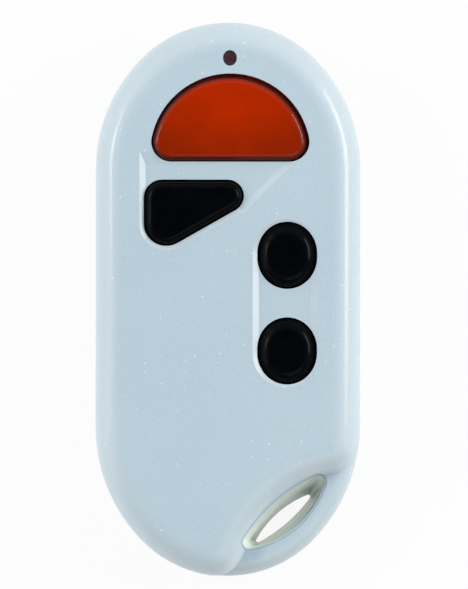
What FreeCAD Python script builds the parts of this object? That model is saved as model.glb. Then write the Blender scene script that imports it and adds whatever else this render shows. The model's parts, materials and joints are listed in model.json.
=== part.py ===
import FreeCAD, Part
import math
import os
import re
import Sketcher

# Garage door remote, lying on its back: X to the right of the face, Y up the face, Z towards the user.
# The origin is the middle of the outline on the flat back. All sizes are in millimetres and degrees.

SIZES = [
    # outline of the case
    ("case_width", 36.0),
    ("case_length", 75.4),
    ("top_cap", 19.9),
    ("bottom_cap", 20.4),
    ("case_height", 11.8),
    ("parting_height", 5.6),
    ("loop_height", 8.4),
    ("front_edge", 3.9),
    ("loop_edge", 2.3),
    ("rear_edge", 2.6),
    ("parting_chamfer", 0.2),
    # walls and the lip that locates the two halves
    ("case_wall", 1.7),
    ("front_wall", 1.6),
    ("rear_wall", 1.6),
    ("cavity_edge", 1.5),
    ("lip_thickness", 0.75),
    ("lip_height", 1.1),
    ("lip_gap", 0.1),
    # key-ring slot: its chord's middle is measured from the case's right side and lower end
    ("slot_from_side", 10.33),
    ("slot_from_end", 8.83),
    ("slot_angle", 41.14),
    ("slot_length", 14.2),
    ("slot_upper_rise", 1.8),
    ("slot_lower_rise", 2.6),
    ("slot_tip", 0.9),
    ("slot_mouth", 0.3),
    ("slot_mid_length", 12.4),
    ("slot_mid_upper_rise", 1.5),
    ("slot_mid_lower_rise", 1.55),
    ("slot_mid_tip", 0.6),
    ("slot_mid_along", -0.15),
    ("slot_mid_across", -0.45),
    ("slot_seam", 0.15),
    ("slot_back_length", 9.7),
    ("slot_back_upper_rise", 1.08),
    ("slot_back_lower_rise", 0.8),
    ("slot_back_tip", 0.3),
    ("slot_back_along", -0.87),
    ("slot_back_across", -0.95),
    ("slot_back_land", 0.8),
    # rolled step from the face down to the key-ring corner: an arc that flares into a straight run
    ("step_radius", 15.5),
    ("step_along", 0.5),
    ("step_across", -13.77),
    ("step_start_angle", 40.0),
    ("step_flare_angle", 161.3),
    ("step_turn_angle", 144.9),
    ("step_flare_radius", 8.0),
    ("step_corner", 4.1),
    ("step_wall", 2.6),
    # half-moon button
    ("red_radius", 10.87),
    ("red_height", 11.93),
    ("red_corner", 2.7),
    ("red_x", 0.3),
    ("red_from_top", 17.96),
    ("red_shift_x", -0.1),
    ("red_shift_y", -0.12),
    # wedge button, placed by the corner of its upper and left sides
    ("wedge_width", 13.55),
    ("wedge_angle", 29.6),
    ("wedge_corner", 2.45),
    ("wedge_foot", 3.05),
    ("wedge_end", 2.2),
    ("wedge_x", -11.4),
    ("wedge_from_top", 21.45),
    # the two round buttons
    ("round_width", 8.1),
    ("round_cap", 4.25),
    ("round_flat", 0.6),
    ("round_from_side", 9.98),
    ("round_from_top", 31.68),
    ("round_pitch", 12.94),
    # what all four buttons share
    ("button_gap", 0.25),
    ("button_rise", 0.5),
    ("button_edge", 1.1),
    ("round_edge", 1.7),
    ("flange_overlap", 0.55),
    ("flange_thickness", 0.9),
    ("button_skin", 1.1),
    ("pusher_radius", 1.5),
    ("button_travel", 0.3),
    # shallow recesses in the face, their sloped walls partly cut away by the openings
    ("recess_depth", 0.45),
    ("pair_reach", 0.39),
    ("pair_shift", -0.24),
    ("pair_left_slope", 0.85),
    ("pair_right_slope", 1.15),
    ("panel_slope", 0.82),
    ("panel_inset", 0.24),
    ("panel_below", 3.8),
    ("panel_above", 3.9),
    ("panel_ramp", 1.9),
    ("panel_foot", 13.04),
    ("panel_diagonal", 45.0),
    # status window
    ("window_width", 1.84),
    ("window_length", 2.1),
    ("window_flat", 0.17),
    ("window_x", 0.23),
    ("window_from_top", 5.0),
    ("window_sink", 0.15),
    ("window_gap", 0.05),
    ("window_flange", 0.3),
    ("window_flange_thickness", 0.7),
    ("window_edge", 0.2),
    # screws and their towers
    ("tower_radius", 2.6),
    ("front_tower_radius", 2.2),
    ("screw_radius", 1.0),
    ("screw_head_radius", 1.9),
    ("screw_head_height", 1.3),
    ("screw_head_sink", 0.6),
    ("screw_length", 7.4),
    ("screw_slot_depth", 0.6),
    ("screw_slot_width", 0.5),
    ("head_gap", 0.2),
    ("shank_gap", 0.15),
    ("pilot_gap", 0.02),
    ("pilot_room", 0.2),
    ("tower_embed", 0.5),
    ("right_tower_in", 6.5),
    ("right_tower_from_top", 23.1),
    ("left_tower_in", 6.2),
    ("left_tower_down", 1.0),
    ("low_tower_x", -4.0),
    ("low_tower_from_end", 6.5),
    # circuit board
    ("board_thickness", 1.0),
    ("board_gap", 0.35),
    ("board_hole_gap", 0.2),
    # push switches, two of them off their cap's middle
    ("red_switch_up", 3.76),
    ("wedge_switch_in", 5.34),
    ("wedge_switch_down", 3.68),
    ("switch_size", 5.2),
    ("switch_body", 1.4),
    ("switch_height", 2.0),
    ("switch_floor", 0.35),
    ("switch_cover", 0.2),
    ("switch_well", 1.8),
    ("disc_radius", 1.65),
    ("disc_flat", 0.15),
    ("disc_thickness", 0.08),
    ("stem_radius", 0.9),
    ("stem_flange", 1.3),
    ("stem_gap", 0.15),
    ("leg_width", 0.7),
    ("leg_reach", 0.8),
    ("leg_thickness", 0.15),
    ("leg_pitch", 3.0),
    # coin cell and its contacts
    ("cell_radius", 10.0),
    ("cell_thickness", 3.2),
    ("cell_cap_radius", 8.8),
    ("cell_cap_height", 0.3),
    ("cell_edge", 0.4),
    ("cell_x", -3.0),
    ("cell_from_end", 20.2),
    ("clip_thickness", 0.25),
    ("clip_width", 5.0),
    ("clip_gap", 0.1),
    ("pocket_gap", 0.35),
    ("pocket_wall", 0.9),
    ("pocket_height", 2.6),
    ("contact_width", 3.0),
    ("contact_thickness", 0.2),
    ("contact_base", 3.2),
    ("contact_reach", 3.0),
    ("contact_toe", 1.2),
    # parts soldered to the board
    ("block_chamfer", 0.15),
    ("chip_x", -3.5),
    ("chip_up", 1.5),
    ("chip_length", 8.7),
    ("chip_width", 3.9),
    ("chip_height", 1.4),
    ("chip_standoff", 0.1),
    ("lead_pitch", 1.27),
    ("lead_width", 0.4),
    ("lead_reach", 1.0),
    ("lead_thickness", 0.15),
    ("saw_x", -4.5),
    ("saw_from_end", 29.2),
    ("saw_length", 5.0),
    ("saw_width", 3.8),
    ("saw_height", 1.4),
    ("transistor_x", 1.0),
    ("transistor_from_end", 28.2),
    ("transistor_length", 2.9),
    ("transistor_width", 1.4),
    ("transistor_height", 1.0),
    ("trimmer_x", -5.0),
    ("trimmer_from_end", 17.7),
    ("trimmer_radius", 2.2),
    ("trimmer_height", 1.5),
    ("led_length", 2.0),
    ("led_width", 1.25),
    ("led_height", 0.8),
    ("trace_width", 1.0),
    ("trace_thickness", 0.1),
    ("trace_left", -12.0),
    ("trace_right", 2.0),
    ("trace_from_end", 11.7),
    ("trace_length", 14.0),
    ("row_pitch", 2.0),
    ("left_row_x", -10.5),
    ("left_row_from_top", 29.2),
    ("chip_row_x", 3.5),
    ("chip_row_down", 0.5),
    ("upper_row_x", 9.25),
    ("upper_row_from_top", 14.7),
    ("saw_row_x", -8.6),
    ("saw_row_up", 0.5),
    ("resistor_length", 2.0),
    ("resistor_width", 1.25),
    ("resistor_height", 0.5),
    ("capacitor_length", 2.0),
    ("capacitor_width", 1.25),
    ("capacitor_height", 0.85),
]

V = FreeCAD.Vector
NAMES = [name for name, number in SIZES]
TOP = "case_length / 2"
END = "-case_length / 2"
HALF = "case_width / 2"
CORNER = 45.0
COS = math.cos(math.radians(CORNER))

# heights that several pieces share
FRONT_INSIDE = "case_height - front_wall"
BUTTON_TOP = "case_height + button_rise"
BOARD_TOP = "parting_height + board_thickness"
COVER_UNDER = BOARD_TOP + " + switch_body - switch_cover"
STEM_TOP = BOARD_TOP + " + switch_height"
WELL_FLOOR = BOARD_TOP + " + switch_floor"
DISC_RISE = "button_travel + disc_flat"
SCREW_END = "screw_head_sink + screw_head_height + screw_length"
CELL_BOTTOM = "rear_wall + clip_thickness"
CELL_TOP = CELL_BOTTOM + " + cell_thickness"

# places on the face
SLOT_X = HALF + " - slot_from_side"
SLOT_Y = END + " + slot_from_end"
STEP_X = SLOT_X + " + step_along * cos(slot_angle) - step_across * sin(slot_angle)"
STEP_Y = SLOT_Y + " + step_along * sin(slot_angle) + step_across * cos(slot_angle)"
RED_Y = TOP + " - red_from_top"
WEDGE_Y = TOP + " - wedge_from_top"
ROUND_X = HALF + " - round_from_side"
ROUND_Y = TOP + " - round_from_top"
LOWER_Y = ROUND_Y + " - round_pitch"
WINDOW_Y = TOP + " - window_from_top"
CELL_Y = END + " + cell_from_end"

SWITCHES = [
    ("red", "red_x", RED_Y + " + red_switch_up"),
    ("wedge", "wedge_x + wedge_switch_in", WEDGE_Y + " - wedge_switch_down"),
    ("upper_round", ROUND_X, ROUND_Y),
    ("lower_round", ROUND_X, LOWER_Y),
]
TOWERS = [
    (HALF + " - right_tower_in", TOP + " - right_tower_from_top"),
    ("left_tower_in - " + HALF, "-left_tower_down"),
    ("low_tower_x", END + " + low_tower_from_end"),
]

# rows of small parts: the column, the first part's place in it, and the places taken, counted downwards
UPPER_ROW_Y = TOP + " - upper_row_from_top"
CHIP_ROW_Y = "chip_up - chip_row_down"
RESISTOR_ROWS = [
    ("left_row_x", TOP + " - left_row_from_top", (0, 1)),
    ("chip_row_x", CHIP_ROW_Y, (0, 1)),
    ("-upper_row_x", UPPER_ROW_Y, (0, 1)),
]
CAPACITOR_ROWS = [
    ("chip_row_x", CHIP_ROW_Y, (2,)),
    ("upper_row_x", UPPER_ROW_Y, (0, 1)),
    ("saw_row_x", END + " + saw_from_end + saw_row_up", (0, 1)),
]

# how far a cutting shape runs past the faces it cuts, and how far a shallow sloped one does
PAST = "1"
LAP = "0.01"
LEADS_A_SIDE = 7
SHARP = 5.0

doc = FreeCAD.newDocument("garage_door_remote")
sheet = doc.addObject("Spreadsheet::Sheet", "sizes")
for row, (name, number) in enumerate(SIZES, start=1):
    sheet.set("A%d" % row, name)
    sheet.set("B%d" % row, str(number))
    sheet.setAlias("B%d" % row, name)
doc.recompute()


def full(expression):
    """The expression with each size written as the sheet's own cell."""
    def cell(match):
        word = match.group()
        return "sizes." + word if word in NAMES else word
    return re.sub(r"[a-z][a-z_]*[a-z]", cell, expression)


def val(expression):
    """The number that an expression of sizes gives now."""
    return float(sheet.evalExpression(full(expression)))


def bind(item, slot, expression):
    item.setExpression(slot, full(expression))


def place(item, x="0", y="0", z="0", turn="0"):
    """Bind an object's place, and its turn about Z, to expressions of sizes."""
    spin = FreeCAD.Rotation(V(0, 0, 1), val(turn))
    item.Placement = FreeCAD.Placement(V(val(x), val(y), val(z)), spin)
    bind(item, "Placement.Base.x", x)
    bind(item, "Placement.Base.y", y)
    bind(item, "Placement.Base.z", z)
    if turn != "0":
        bind(item, "Placement.Rotation.Angle", turn)


def new_body(name):
    body = doc.addObject("PartDesign::Body", name)
    body.Label = name
    return body


def new_sketch(body, level="0", x="0", y="0", plane="XY_Plane"):
    """A sketch on one of the body's own planes, moved along it and off it by expressions."""
    sketch = body.newObject("Sketcher::SketchObject", body.Name + "_sketch")
    support = [item for item in body.Origin.OriginFeatures if item.Role == plane][0]
    sketch.AttachmentSupport = [(support, "")]
    sketch.MapMode = "FlatFace"
    bind(sketch, "AttachmentOffset.Base.x", x)
    bind(sketch, "AttachmentOffset.Base.y", y)
    bind(sketch, "AttachmentOffset.Base.z", level)
    return sketch


def limit(sketch, kind, *places):
    """Add a constraint. A last item of text is the expression that drives it."""
    if isinstance(places[-1], str):
        number = math.radians(val(places[-1])) if kind == "Angle" else val(places[-1])
        index = sketch.addConstraint(Sketcher.Constraint(kind, *places[:-1], number))
        bind(sketch, "Constraints[%d]" % index, places[-1])
    else:
        sketch.addConstraint(Sketcher.Constraint(kind, *places))


def line(sketch, x1, y1, x2, y2):
    return sketch.addGeometry(Part.LineSegment(V(x1, y1, 0), V(x2, y2, 0)), False)


def arc(sketch, x, y, radius, start, end):
    circle = Part.Circle(V(x, y, 0), V(0, 0, 1), radius)
    return sketch.addGeometry(Part.ArcOfCircle(circle, math.radians(start), math.radians(end)), False)


def circle(sketch, radius):
    """A circle on the sketch's own origin."""
    index = sketch.addGeometry(Part.Circle(V(0, 0, 0), V(0, 0, 1), val(radius)), False)
    limit(sketch, "Coincident", index, 3, -1, 1)
    limit(sketch, "Radius", index, radius)
    return sketch


def polygon(sketch, points):
    """A closed outline through points given as pairs of expressions."""
    spots = [(val(x), val(y)) for x, y in points]
    count = len(points)
    for index in range(count):
        x1, y1 = spots[index]
        x2, y2 = spots[(index + 1) % count]
        line(sketch, x1, y1, x2, y2)
    for index in range(count):
        limit(sketch, "Coincident", index, 2, (index + 1) % count, 1)
        limit(sketch, "DistanceX", -1, 1, index, 1, points[index][0])
        limit(sketch, "DistanceY", -1, 1, index, 1, points[index][1])
    return sketch


def end_radius(half, cap):
    """Radius of the arc over the end of a cap whose side and end arcs meet at CORNER."""
    return "((%s) * %.9f - (%s) * %.9f) / %.9f" % (cap, 1 - COS, half, COS, 1 - 2 * COS)


def oval_outline(sketch, half, upper_cap, lower_cap, straight):
    """Two straight sides joined by rounded caps, each of two side arcs and an end arc."""
    half_now, straight_now = val(half), val(straight) / 2
    upper, lower = val(upper_cap), val(lower_cap)
    upper_end, lower_end = val(end_radius(half, upper_cap)), val(end_radius(half, lower_cap))
    upper_side = val(end_radius(upper_cap, half))
    lower_side = val(end_radius(lower_cap, half))
    right = line(sketch, half_now, -straight_now, half_now, straight_now)
    arc(sketch, half_now - upper_side, straight_now, upper_side, 0, CORNER)
    top = arc(sketch, 0, straight_now + upper - upper_end, upper_end, CORNER, 180 - CORNER)
    arc(sketch, upper_side - half_now, straight_now, upper_side, 180 - CORNER, 180)
    left = line(sketch, -half_now, straight_now, -half_now, -straight_now)
    arc(sketch, lower_side - half_now, -straight_now, lower_side, 180, 180 + CORNER)
    bottom = arc(sketch, 0, lower_end - straight_now - lower, lower_end, 180 + CORNER, 360 - CORNER)
    arc(sketch, half_now - lower_side, -straight_now, lower_side, 360 - CORNER, 360)
    for index in range(8):
        limit(sketch, "Tangent", index, 2, (index + 1) % 8, 1)
    limit(sketch, "Vertical", right)
    limit(sketch, "Vertical", left)
    limit(sketch, "DistanceX", -1, 1, right, 1, half)
    limit(sketch, "DistanceX", left, 1, -1, 1, half)
    for side, upper_point, lower_point in ((right, 2, 1), (left, 1, 2)):
        limit(sketch, "DistanceY", -1, 1, side, upper_point, "(%s) / 2" % straight)
        limit(sketch, "DistanceY", side, lower_point, -1, 1, "(%s) / 2" % straight)
    limit(sketch, "PointOnObject", top, 3, -2)
    limit(sketch, "PointOnObject", bottom, 3, -2)
    limit(sketch, "Radius", top, end_radius(half, upper_cap))
    limit(sketch, "Radius", bottom, end_radius(half, lower_cap))
    rise = "(%s) / 2 + (%s) - (%s)"
    limit(sketch, "DistanceY", -1, 1, top, 3, rise % (straight, upper_cap, end_radius(half, upper_cap)))
    limit(sketch, "DistanceY", bottom, 3, -1, 1, rise % (straight, lower_cap, end_radius(half, lower_cap)))
    return sketch


def case_outline(body, level, inset="0"):
    """The remote's outline, moved inwards by an inset."""
    sketch = new_sketch(body, level, "0", "(bottom_cap - top_cap) / 2")
    straight = "case_length - top_cap - bottom_cap"
    caps = ["%s - (%s)" % (cap, inset) for cap in ("top_cap", "bottom_cap")]
    return oval_outline(sketch, "%s - (%s)" % (HALF, inset), caps[0], caps[1], straight)


def round_outline(body, level, y, grow="0", stretch="0", x=ROUND_X):
    """A round button's slightly oval outline, grown, and stretched towards the other button."""
    sketch = new_sketch(body, level, x, y)
    cap = "round_cap + " + grow
    return oval_outline(sketch, "round_width / 2 + " + grow, cap, cap, "round_flat + " + stretch)


def red_outline(body, level, grow="0", x="red_x", y=RED_Y):
    """The half-moon: a dome arc, two corners and a flat lower side."""
    sketch = new_sketch(body, level, x, y)
    radius, corner = "red_radius + " + grow, "red_corner + " + grow
    flat = "red_height - red_radius + " + grow
    centre_y = val("red_corner - red_height + red_radius")
    centre_x = math.sqrt(val("red_radius - red_corner") ** 2 - centre_y ** 2)
    lean = math.degrees(math.atan2(centre_y, centre_x))
    dome = arc(sketch, 0, 0, val(radius), lean, 180 - lean)
    left = arc(sketch, -centre_x, centre_y, val(corner), 180 - lean, 270)
    base = line(sketch, -centre_x, -val(flat), centre_x, -val(flat))
    right = arc(sketch, centre_x, centre_y, val(corner), 270, 360 + lean)
    for index in range(4):
        limit(sketch, "Tangent", index, 2, (index + 1) % 4, 1)
    limit(sketch, "Coincident", dome, 3, -1, 1)
    limit(sketch, "Radius", dome, radius)
    limit(sketch, "Radius", left, corner)
    limit(sketch, "Radius", right, corner)
    limit(sketch, "Horizontal", base)
    limit(sketch, "DistanceY", base, 1, -1, 1, flat)
    return sketch


def wedge_outline(body, level, grow="0"):
    """The wedge: upright left side, level upper side, slanted lower side and three round corners."""
    sketch = new_sketch(body, level, "wedge_x", WEDGE_Y)
    foot, end, corner = "wedge_foot + " + grow, "wedge_end + " + grow, "wedge_corner + " + grow
    extra, slant = val(grow), math.radians(val("wedge_angle"))
    end_x, end_y = val("wedge_width - wedge_end"), -val("wedge_end")
    foot_x = val("wedge_foot")
    normal_x, normal_y = math.sin(slant), -math.cos(slant)
    gap = val("wedge_end - wedge_foot")
    foot_y = end_y + (gap + (end_x - foot_x) * normal_x) / normal_y
    corner_x = val("wedge_corner")
    low, high = math.degrees(slant) - 90, 90
    left = line(sketch, -extra, -corner_x, -extra, foot_y)
    foot_arc = arc(sketch, foot_x, foot_y, val(foot), 180, 360 + low)
    reach_foot, reach_end = val(foot), val(end)
    slope = line(sketch, foot_x + reach_foot * normal_x, foot_y + reach_foot * normal_y,
                 end_x + reach_end * normal_x, end_y + reach_end * normal_y)
    end_arc = arc(sketch, end_x, end_y, reach_end, low, high)
    upper = line(sketch, end_x, extra, corner_x, extra)
    corner_arc = arc(sketch, corner_x, -corner_x, val(corner), 90, 180)
    for index in range(6):
        limit(sketch, "Tangent", index, 2, (index + 1) % 6, 1)
    limit(sketch, "Vertical", left)
    limit(sketch, "Horizontal", upper)
    limit(sketch, "DistanceX", left, 1, -1, 1, grow)
    limit(sketch, "DistanceY", -1, 1, upper, 1, grow)
    limit(sketch, "Radius", foot_arc, foot)
    limit(sketch, "Radius", end_arc, end)
    limit(sketch, "Radius", corner_arc, corner)
    limit(sketch, "Angle", slope, "wedge_angle")
    limit(sketch, "DistanceX", -1, 1, end_arc, 3, "wedge_width - wedge_end")
    return sketch


def lens_outline(body, level, length, upper, lower, tip, along, across):
    """A lens with rounded tips along X; upper and lower are its rises above and below the chord."""
    sketch = new_sketch(body, level, along, across)
    bow = "(((%s) / 2 - (%s))^2 + (%s)^2 - (%s)^2) / (2 * ((%s) - (%s)))"
    radii = [bow % (length, tip, rise, tip, rise, tip) for rise in (upper, lower)]
    tip_x = val("(%s) / 2 - (%s)" % (length, tip))
    upper_y, lower_y = val(upper) - val(radii[0]), val(radii[1]) - val(lower)
    lean_up = math.degrees(math.atan2(-upper_y, tip_x))
    lean_down = math.degrees(math.atan2(lower_y, tip_x))
    right = arc(sketch, tip_x, 0, val(tip), -lean_down, lean_up)
    over = arc(sketch, 0, upper_y, val(radii[0]), lean_up, 180 - lean_up)
    left = arc(sketch, -tip_x, 0, val(tip), 180 - lean_up, 180 + lean_down)
    under = arc(sketch, 0, lower_y, val(radii[1]), 180 + lean_down, 360 - lean_down)
    for index in range(4):
        limit(sketch, "Tangent", index, 2, (index + 1) % 4, 1)
    for point in (right, left):
        limit(sketch, "PointOnObject", point, 3, -1)
        limit(sketch, "Radius", point, tip)
    limit(sketch, "DistanceX", -1, 1, right, 3, "(%s) / 2 - (%s)" % (length, tip))
    limit(sketch, "DistanceX", left, 3, -1, 1, "(%s) / 2 - (%s)" % (length, tip))
    limit(sketch, "Radius", over, radii[0])
    limit(sketch, "Radius", under, radii[1])
    return sketch


def rectangle(body, level, width, length, x="0", y="0"):
    """A rectangle centred on a place."""
    sketch = new_sketch(body, level, x, y)
    right, up = "(%s) / 2" % width, "(%s) / 2" % length
    left, down = "-(%s) / 2" % width, "-(%s) / 2" % length
    return polygon(sketch, [(left, down), (right, down), (right, up), (left, up)])


def pad(body, sketch, length, backwards=False, taper=None):
    feature = body.newObject("PartDesign::Pad", body.Name + "_pad")
    feature.Profile = sketch
    bind(feature, "Length", length)
    feature.Reversed = backwards
    if taper:
        bind(feature, "TaperAngle", taper)
    doc.recompute()
    return feature


def pocket(body, sketch, length):
    """Cut a sketch's outline upwards by a length."""
    feature = body.newObject("PartDesign::Pocket", body.Name + "_pocket")
    feature.Profile = sketch
    feature.Reversed = True
    bind(feature, "Length", length)
    doc.recompute()
    return feature


def level_edges(feature, level):
    """Names of the edges that lie flat at a level."""
    height = val(level)
    names = []
    for index, edge in enumerate(feature.Shape.Edges, start=1):
        box = edge.BoundBox
        if abs(box.ZMin - height) < 1e-4 and abs(box.ZMax - height) < 1e-4:
            names.append("Edge%d" % index)
    return names


def dress(body, feature, edges, size, kind="Fillet"):
    """Round or chamfer some edges of a feature."""
    edge = body.newObject("PartDesign::" + kind, body.Name + "_edge")
    edge.Base = (feature, edges)
    bind(edge, "Radius" if kind == "Fillet" else "Size", size)
    doc.recompute()
    return edge


def soften(body, feature, level, size, kind="Fillet"):
    """Round or chamfer the edges of a feature at a level."""
    return dress(body, feature, level_edges(feature, level), size, kind)


def cut(name, base, *tools):
    """The base less one or more tools."""
    item = doc.addObject("Part::Cut", name)
    item.Base = base
    item.Tool = tools[0] if len(tools) == 1 else fuse(name + "_tools", *tools)
    item.Label = name
    return item


def fuse(name, *pieces):
    item = doc.addObject("Part::MultiFuse", name)
    item.Shapes = list(pieces)
    item.Label = name
    return item


def cylinder(name, radius, height, x="0", y="0", z="0"):
    item = doc.addObject("Part::Cylinder", name)
    bind(item, "Radius", radius)
    bind(item, "Height", height)
    place(item, x, y, z)
    return item


def box(name, length, width, height, x="0", y="0", z="0"):
    """A box centred on a place, standing on a level."""
    item = doc.addObject("Part::Box", name)
    bind(item, "Length", length)
    bind(item, "Width", width)
    bind(item, "Height", height)
    place(item, "%s - (%s) / 2" % (x, length), "%s - (%s) / 2" % (y, width), z)
    return item


def group(name, pieces):
    """Like pieces that share one node."""
    item = doc.addObject("Part::Compound", name)
    item.Links = pieces
    item.Label = name
    return item


def outline_block(name, low, high, inset="0"):
    """A block of the case's outline between two levels."""
    body = new_body(name)
    return body, pad(body, case_outline(body, low, inset), "(%s) - (%s)" % (high, low))


def corner_cylinder(name, extra):
    """The space round the key-ring corner, centred on the step."""
    radius = "step_radius + step_wall + " + extra
    return cylinder(name, radius, "case_height + 2 * " + PAST, STEP_X, STEP_Y, "-" + PAST)


def corner_outline(body, level):
    """The key-ring corner in plan: an arc round the step's centre, a flare and a straight run."""
    sketch = new_sketch(body, level, STEP_X, STEP_Y)
    radius, flare = val("step_radius"), val("step_flare_radius")
    first, last, turn = val("step_start_angle"), val("step_flare_angle"), val("step_turn_angle")
    middle = radius + flare
    middle_x, middle_y = middle * math.cos(math.radians(last)), middle * math.sin(math.radians(last))
    start_x = radius * math.cos(math.radians(first))
    start_y = radius * math.sin(math.radians(first))
    flare_x = middle_x - flare * math.cos(math.radians(turn))
    flare_y = middle_y - flare * math.sin(math.radians(turn))
    low = -radius / 2
    run = (flare_y - low) / math.cos(math.radians(180 - turn))
    low_x = flare_x - run * math.sin(math.radians(turn))
    step = arc(sketch, 0, 0, radius, first, last)
    bend = arc(sketch, middle_x, middle_y, flare, turn + 180, last + 180)
    straight = line(sketch, flare_x, flare_y, low_x, low)
    base = line(sketch, low_x, low, start_x, low)
    side = line(sketch, start_x, low, start_x, start_y)
    limit(sketch, "Coincident", step, 3, -1, 1)
    limit(sketch, "Radius", step, "step_radius")
    limit(sketch, "Radius", bend, "step_flare_radius")
    limit(sketch, "Tangent", step, 2, bend, 2)
    limit(sketch, "Tangent", bend, 1, straight, 1)
    limit(sketch, "Coincident", straight, 2, base, 1)
    limit(sketch, "Coincident", base, 2, side, 1)
    limit(sketch, "Coincident", side, 2, step, 1)
    limit(sketch, "Horizontal", base)
    limit(sketch, "Vertical", side)
    limit(sketch, "DistanceX", -1, 1, step, 1, "step_radius * cos(step_start_angle)")
    limit(sketch, "DistanceX", -1, 1, step, 2, "step_radius * cos(step_flare_angle)")
    limit(sketch, "DistanceX", -1, 1, bend, 1, "(step_radius + step_flare_radius) * cos(step_flare_angle)"
          " - step_flare_radius * cos(step_turn_angle)")
    limit(sketch, "DistanceY", base, 1, -1, 1, "step_radius / 2")
    return sketch


def sharp_uprights(feature):
    """Names of the upright edges whose two faces meet at an angle."""
    names = []
    for index, edge in enumerate(feature.Shape.Edges, start=1):
        box = edge.BoundBox
        if box.ZLength < 1e-3 or box.XLength > 1e-3 or box.YLength > 1e-3:
            continue
        middle = edge.valueAt((edge.FirstParameter + edge.LastParameter) / 2)
        faces = feature.Shape.ancestorsOfType(edge, Part.Face)
        ways = [face.normalAt(*face.Surface.parameter(middle)) for face in faces]
        if len(ways) == 2 and ways[0].getAngle(ways[1]) > math.radians(SHARP):
            names.append("Edge%d" % index)
    return names


def slot_tools():
    """The lens-shaped slot: it narrows from a flared mouth to the seam, and again to the back."""
    face = ("slot_length", "slot_upper_rise", "slot_lower_rise", "slot_tip", "0", "0")
    middle = ("slot_mid_length", "slot_mid_upper_rise", "slot_mid_lower_rise", "slot_mid_tip",
              "slot_mid_along", "slot_mid_across")
    back = ("slot_back_length", "slot_back_upper_rise", "slot_back_lower_rise", "slot_back_tip",
            "slot_back_along", "slot_back_across")
    mouth = grown(face, "slot_mouth")
    seam = grown(middle, "slot_seam")
    mouth_low, seam_low = "loop_height - slot_mouth", "parting_height - slot_seam"
    upper = new_body("slot_upper")
    stack(upper, [("parting_height - " + PAST, middle), ("parting_height", middle), (mouth_low, face),
                  ("loop_height", mouth), ("case_height + " + PAST, mouth)])
    lower = new_body("slot_lower")
    stack(lower, [("-" + PAST, back), ("slot_back_land", back), (seam_low, middle),
                  ("parting_height", seam), ("parting_height + " + PAST, seam)])
    for body in (upper, lower):
        place(body, SLOT_X, SLOT_Y, "0", "slot_angle")
    return upper, lower


def grown(lens, amount):
    """The sizes of a lens with its outline moved outwards."""
    length, upper, lower, tip, along, across = lens
    return ("%s + 2 * %s" % (length, amount), "%s + %s" % (upper, amount), "%s + %s" % (lower, amount),
            "%s + %s" % (tip, amount), along, across)


def stack(body, levels):
    """One shape through lenses at rising levels."""
    for (low, lens), (high, lens_above) in zip(levels, levels[1:]):
        outline = lens_outline(body, low, *lens)
        if lens == lens_above:
            pad(body, outline, "%s - (%s)" % (high, low))
        else:
            loft_between(body, outline, lens_outline(body, high, *lens_above))


def loft_between(body, low, high):
    feature = body.newObject("PartDesign::AdditiveLoft", body.Name + "_loft")
    feature.Profile = low
    feature.Sections = [high]
    feature.Ruled = True
    doc.recompute()
    return feature


def recess_tools():
    """Shallow sloped recesses: one round the two round buttons, one joining the red and the wedge."""
    floor = "case_height - recess_depth"
    height = "recess_depth + " + LAP
    pair = new_body("pair_recess")
    pair_x, pair_y = ROUND_X + " + pair_shift", ROUND_Y + " - round_pitch / 2"
    low = round_outline(pair, floor, pair_y, "pair_reach - (pair_left_slope + pair_right_slope) / 2",
                        "round_pitch", pair_x + " + (pair_left_slope - pair_right_slope) / 2")
    high = round_outline(pair, "case_height + " + LAP, pair_y, "pair_reach", "round_pitch", pair_x)
    loft_between(pair, low, high)
    around = new_body("wedge_recess")
    slope = "atan(panel_slope / recess_depth)"
    pad(around, wedge_outline(around, floor, "-panel_inset"), height, taper=slope)
    panel = new_body("panel_recess")
    sketch = new_sketch(panel, floor, "wedge_x", WEDGE_Y)
    points = [
        ("panel_inset", "-panel_below"),
        ("panel_foot", "-panel_below"),
        ("panel_foot + (panel_below + panel_above) / tan(panel_diagonal)", "panel_above"),
        ("panel_inset", "panel_above"),
    ]
    pad(panel, polygon(sketch, points), height, taper=slope)
    return pair, around, cut("panel_tool", panel, panel_ramp())


def panel_ramp():
    """What stays above the panel's upper end, where its floor climbs back to the face."""
    ramp = new_body("panel_ramp")
    sketch = new_sketch(ramp, "wedge_x - case_width / 2", WEDGE_Y + " + panel_above", "0", "YZ_Plane")
    low, high = "case_height - 2 * recess_depth", "case_height + recess_depth"
    behind = "panel_ramp + panel_slope"
    polygon(sketch, [("-2 * panel_ramp", low), (behind, low), (behind, high), ("panel_ramp", high)])
    pad(ramp, sketch, "2 * case_width")
    return ramp


def aperture(name, outline):
    body = new_body(name)
    pad(body, outline(body, "parting_height"), "case_height")
    return body


def window_outline(body, level, grow="0"):
    sketch = new_sketch(body, level, "window_x", WINDOW_Y)
    cap = "(window_length - window_flat) / 2 + " + grow
    return oval_outline(sketch, "window_width / 2 + " + grow, cap, cap, "window_flat")


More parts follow.
